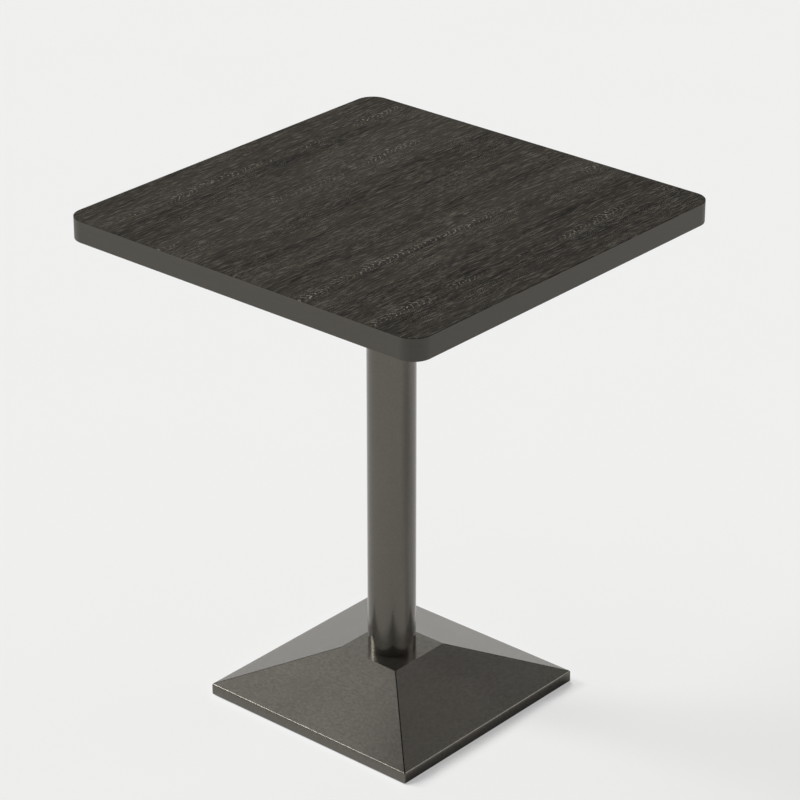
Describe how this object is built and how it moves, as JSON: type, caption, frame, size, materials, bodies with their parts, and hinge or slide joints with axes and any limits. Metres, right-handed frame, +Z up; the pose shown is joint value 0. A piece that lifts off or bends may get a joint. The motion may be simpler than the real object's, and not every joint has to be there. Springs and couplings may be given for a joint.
{
  "type": "bistro table",
  "caption": "Square pedestal cafe table with a dark wood-grain laminate top, a round column and a low pyramid base on levelling feet.",
  "frame": {"origin": "on the floor under the middle of the table, with the feet screwed right in", "axes": "+Z up; X and Y along the sides of the top and of the base; the wood grain runs along Y"},
  "size_m": [0.61, 0.61, 0.74],
  "materials": {
    "laminate": "dark stained oak-grain laminate, matt",
    "edge_band": "matt taupe-grey edge band",
    "board": "raw pressed board",
    "backer": "plain matt balancing laminate",
    "powder_coat": "satin taupe-grey powder coat with fine orange peel",
    "black_iron": "sand-cast, painted black",
    "zinc": "zinc-plated, clear passivated",
    "rubber": "black EPDM rubber",
    "foot_plastic": "black moulded nylon"
  },
  "bodies": {
    "table": {"top_laminate": "laminate", "top_core": "board", "top_backer": "backer", "edge_band": "edge_band", "insert_nuts": "zinc", "top_spider": "black_iron", "spider_screws": "zinc", "spider_washers": "zinc", "column_tube": "powder_coat", "column_foot_disc": "zinc", "tie_rod": "zinc", "upper_nut": "zinc", "upper_washer": "zinc", "lower_nut": "zinc", "lower_washer": "zinc", "lower_spring_washer": "zinc", "base_cover": "powder_coat", "ballast_casting": "black_iron", "cover_pads": "rubber"},
    "foot_1": {"foot_pad_1": "foot_plastic"},
    "stud_1": {"foot_stud_1": "zinc"},
    "foot_2": {"foot_pad_2": "foot_plastic"},
    "stud_2": {"foot_stud_2": "zinc"},
    "foot_3": {"foot_pad_3": "foot_plastic"},
    "stud_3": {"foot_stud_3": "zinc"},
    "foot_4": {"foot_pad_4": "foot_plastic"},
    "stud_4": {"foot_stud_4": "zinc"}
  },
  "joints": [
    {"name": "foot_1_travel", "type": "slide", "parent": "table", "child": "foot_1", "axis": [0, 0, -1], "range_m": [0, 0.01]},
    {"name": "stud_1_turn", "type": "hinge", "parent": "foot_1", "child": "stud_1", "pos_m": [-0.14, -0.14, 0], "axis": [0, 0, -1], "range_deg": [0, 2880]},
    {"name": "foot_2_travel", "type": "slide", "parent": "table", "child": "foot_2", "axis": [0, 0, -1], "range_m": [0, 0.01]},
    {"name": "stud_2_turn", "type": "hinge", "parent": "foot_2", "child": "stud_2", "pos_m": [0.14, -0.14, 0], "axis": [0, 0, -1], "range_deg": [0, 2880]},
    {"name": "foot_3_travel", "type": "slide", "parent": "table", "child": "foot_3", "axis": [0, 0, -1], "range_m": [0, 0.01]},
    {"name": "stud_3_turn", "type": "hinge", "parent": "foot_3", "child": "stud_3", "pos_m": [0.14, 0.14, 0], "axis": [0, 0, -1], "range_deg": [0, 2880]},
    {"name": "foot_4_travel", "type": "slide", "parent": "table", "child": "foot_4", "axis": [0, 0, -1], "range_m": [0, 0.01]},
    {"name": "stud_4_turn", "type": "hinge", "parent": "foot_4", "child": "stud_4", "pos_m": [-0.14, 0.14, 0], "axis": [0, 0, -1], "range_deg": [0, 2880]}
  ],
  "couplings": [
    {"joint": "stud_1_turn", "follows": "foot_1_travel", "rad_per_m": 5026.5},
    {"joint": "stud_2_turn", "follows": "foot_2_travel", "rad_per_m": 5026.5},
    {"joint": "stud_3_turn", "follows": "foot_3_travel", "rad_per_m": 5026.5},
    {"joint": "stud_4_turn", "follows": "foot_4_travel", "rad_per_m": 5026.5}
  ]
}
